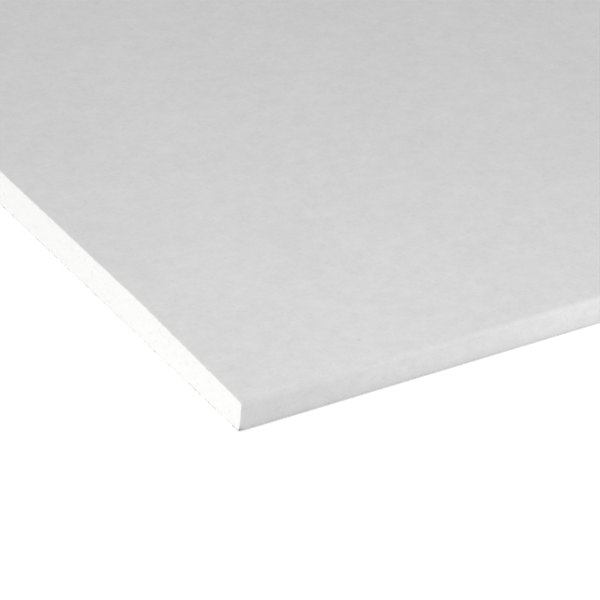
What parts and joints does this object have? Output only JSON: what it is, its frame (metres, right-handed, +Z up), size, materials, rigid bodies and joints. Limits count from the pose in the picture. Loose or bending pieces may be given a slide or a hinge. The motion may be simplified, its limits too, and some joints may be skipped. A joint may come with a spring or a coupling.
{
  "type": "drywall sheet",
  "caption": "Flat rectangular gypsum board with tapered, paper-wrapped long edges and square-cut ends that show the white core; screwed to studs or joists as wall or ceiling lining.",
  "frame": {"origin": "middle of the back, on the plane that the sheet lies on", "axes": "+X along the sheet's length, +Y across its width, +Z up out of the finish face"},
  "size_m": [2.4, 1.1998, 0.0125],
  "materials": {
    "gypsum": "matte",
    "face_paper": "matte",
    "back_paper": "matte"
  },
  "bodies": {
    "root": {"gypsum_core": "gypsum", "face_paper": "face_paper", "back_paper": "back_paper"}
  },
  "joints": []
}
